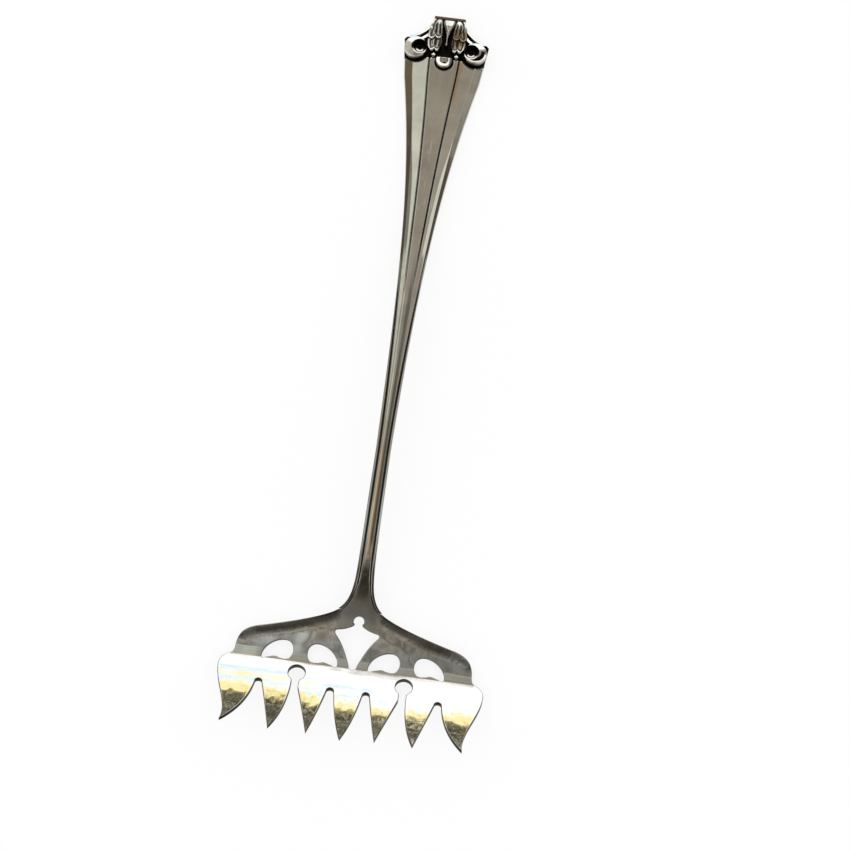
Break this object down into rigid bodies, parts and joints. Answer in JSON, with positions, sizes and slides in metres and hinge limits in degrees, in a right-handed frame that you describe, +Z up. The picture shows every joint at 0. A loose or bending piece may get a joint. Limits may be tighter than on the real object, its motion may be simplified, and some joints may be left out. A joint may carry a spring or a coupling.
{
  "type": "sardine fork",
  "caption": "Silver sardine serving fork: a wide pierced head with upswept tines, a slender panelled handle and a classical capital in relief at its end.",
  "frame": {"origin": "on the table under the middle of the fork's length and width, with the fork lying front up", "axes": "+Y towards the handle's end, -Y towards the tines, +X across to the right seen from above with the handle away, +Z up out of the front"},
  "size_m": [0.0512, 0.1574, 0.0078],
  "materials": {
    "silver_handle": "polished silver with fine wear scratches",
    "silver_head": "polished silver with fine wear scratches",
    "silver_ornament": "polished silver, tarnished dark in the recesses"
  },
  "bodies": {
    "root": {"handle": "silver_handle", "fork_head": "silver_head", "abacus": "silver_ornament", "volute_left": "silver_ornament", "volute_right": "silver_ornament", "leaf_left": "silver_ornament", "leaf_right": "silver_ornament", "centre_leaf": "silver_ornament", "drop": "silver_ornament"}
  },
  "joints": []
}
